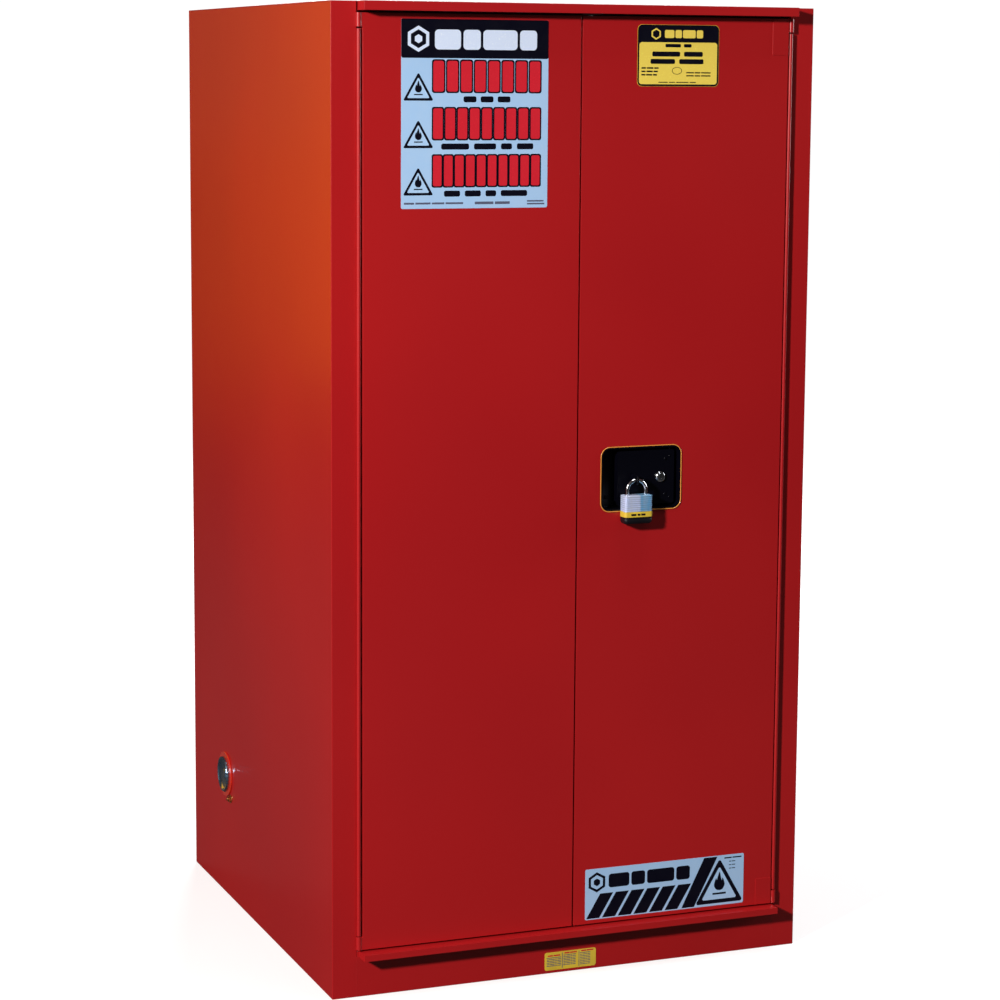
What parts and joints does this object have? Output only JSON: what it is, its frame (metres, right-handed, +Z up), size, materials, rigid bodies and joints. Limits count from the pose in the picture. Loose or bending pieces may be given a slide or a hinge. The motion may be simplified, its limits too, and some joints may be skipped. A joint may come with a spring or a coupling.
{
  "type": "flammable storage cabinet",
  "caption": "Double-wall sheet-metal safety cabinet with two piano-hinged doors, a recessed paddle latch with a padlock, shelves, a sump and capped side vents.",
  "frame": {"origin": "centre of the bounding box on the floor", "axes": "+X to the right seen from the front, +Y to the back, +Z up; the doors face -Y"},
  "size_m": [0.88, 0.899, 1.651],
  "materials": {
    "red_paint": "semi-gloss powder coat with fine orange peel",
    "zinc": "bright plated steel",
    "black_paint": "satin black",
    "galvanised": "spangled zinc sheet",
    "collar_red": "gloss red",
    "brass": "turned brass",
    "label_silver": "satin metallised vinyl",
    "label_yellow": "yellow vinyl",
    "lock_steel": "laminated steel plates",
    "bumper": "moulded black rubber"
  },
  "bodies": {
    "cabinet": {"side_panel_left": "red_paint", "side_panel_right": "red_paint", "back_panel": "red_paint", "top_panel": "red_paint", "base_pan": "red_paint", "liner_left": "red_paint", "liner_right": "red_paint", "liner_back": "red_paint", "liner_top": "red_paint", "sump_floor": "red_paint", "sump_sill": "red_paint", "stile_left": "red_paint", "stile_right": "red_paint", "hood_rail": "red_paint", "door_stop_rail": "red_paint", "sill_ledge": "red_paint", "base_front": "red_paint", "hinge_frame_leaf_left": "red_paint", "hinge_frame_leaf_right": "red_paint", "hinge_pins": "zinc", "strike_plates": "zinc", "vent_collar_low": "collar_red", "vent_collar_high": "collar_red", "flame_screens": "zinc", "ground_stud": "brass", "shelf_standards": "galvanised", "shelf_clips": "zinc", "sill_label": "label_yellow"},
    "vent_cap_low": {"vent_cap_low": "zinc"},
    "vent_cap_high": {"vent_cap_high": "zinc"},
    "shelf_low": {"shelf_low": "galvanised"},
    "shelf_high": {"shelf_high": "galvanised"},
    "foot_front_left": {"foot_front_left": "zinc"},
    "foot_front_right": {"foot_front_right": "zinc"},
    "foot_back_left": {"foot_back_left": "zinc"},
    "foot_back_right": {"foot_back_right": "zinc"},
    "door_left": {"door_skin_left": "red_paint", "door_inner_left": "red_paint", "hinge_door_leaf_left": "red_paint", "bolt_keeper": "zinc", "label_main": "label_silver"},
    "door_right": {"door_skin_right": "red_paint", "door_inner_right": "red_paint", "hinge_door_leaf_right": "red_paint", "handle_pan": "black_paint", "rod_guides": "zinc", "label_small": "label_yellow", "label_lower": "label_silver"},
    "paddle": {"handle_paddle": "black_paint", "hasp_eye": "black_paint", "lock_barrel": "zinc"},
    "lock_plug": {"lock_plug": "zinc"},
    "rod_top": {"latch_rod_top": "zinc"},
    "rod_bottom": {"latch_rod_bottom": "zinc"},
    "bolt": {"latch_bolt": "zinc"},
    "padlock_shackle": {"padlock_shackle": "zinc"},
    "padlock": {"padlock_body": "lock_steel", "padlock_bumper": "bumper"}
  },
  "joints": [
    {"name": "door_left_hinge", "type": "hinge", "parent": "cabinet", "child": "door_left", "pos_m": [-0.387, -0.4195, 0.11], "axis": [0, 0, -1], "range_deg": [0, 170]},
    {"name": "door_right_hinge", "type": "hinge", "parent": "cabinet", "child": "door_right", "pos_m": [0.387, -0.4195, 0.11], "axis": [0, 0, 1], "range_deg": [0, 170]},
    {"name": "handle_paddle_pull", "type": "hinge", "parent": "door_right", "child": "paddle", "pos_m": [0.178, -0.4085, 0.858], "axis": [0, 0, 1], "range_deg": [0, 40]},
    {"name": "key_plug_turn", "type": "hinge", "parent": "paddle", "child": "lock_plug", "pos_m": [0.156, -0.4205, 0.858], "axis": [0, 1, 0], "range_deg": [0, 90]},
    {"name": "latch_rod_top_slide", "type": "slide", "parent": "door_right", "child": "rod_top", "axis": [0, 0, -1], "range_m": [0, 0.0101]},
    {"name": "latch_rod_bottom_slide", "type": "slide", "parent": "door_right", "child": "rod_bottom", "axis": [0, 0, 1], "range_m": [0, 0.0101]},
    {"name": "latch_bolt_slide", "type": "slide", "parent": "door_right", "child": "bolt", "axis": [1, 0, 0], "range_m": [0, 0.0101]},
    {"name": "padlock_swing", "type": "hinge", "parent": "paddle", "child": "padlock_shackle", "pos_m": [0.103, -0.437, 0.857], "axis": [-1, 0, 0], "range_deg": [0, 60]},
    {"name": "padlock_release", "type": "slide", "parent": "padlock_shackle", "child": "padlock", "axis": [0, 0, -1], "range_m": [0, 0.01]},
    {"name": "shelf_low_lift", "type": "slide", "parent": "cabinet", "child": "shelf_low", "axis": [0, 0, 1], "range_m": [0, 0.02]},
    {"name": "shelf_high_lift", "type": "slide", "parent": "cabinet", "child": "shelf_high", "axis": [0, 0, 1], "range_m": [0, 0.02]},
    {"name": "vent_cap_low_turn", "type": "hinge", "parent": "cabinet", "child": "vent_cap_low", "pos_m": [-0.432, 0.2305, 0.231], "axis": [-1, 0, 0], "continuous": true},
    {"name": "vent_cap_high_turn", "type": "hinge", "parent": "cabinet", "child": "vent_cap_high", "pos_m": [0.432, 0.2305, 1.42], "axis": [1, 0, 0], "continuous": true},
    {"name": "leveller_front_left_turn", "type": "slide", "parent": "cabinet", "child": "foot_front_left", "axis": [0, 0, 1], "range_m": [0, 0.012]},
    {"name": "leveller_front_right_turn", "type": "slide", "parent": "cabinet", "child": "foot_front_right", "axis": [0, 0, 1], "range_m": [0, 0.012]},
    {"name": "leveller_back_left_turn", "type": "slide", "parent": "cabinet", "child": "foot_back_left", "axis": [0, 0, 1], "range_m": [0, 0.012]},
    {"name": "leveller_back_right_turn", "type": "slide", "parent": "cabinet", "child": "foot_back_right", "axis": [0, 0, 1], "range_m": [0, 0.012]}
  ],
  "couplings": [
    {"joint": "latch_rod_top_slide", "follows": "handle_paddle_pull", "m_per_rad": 0.0143},
    {"joint": "latch_rod_bottom_slide", "follows": "handle_paddle_pull", "m_per_rad": 0.0143},
    {"joint": "latch_bolt_slide", "follows": "handle_paddle_pull", "m_per_rad": 0.0143}
  ]
}
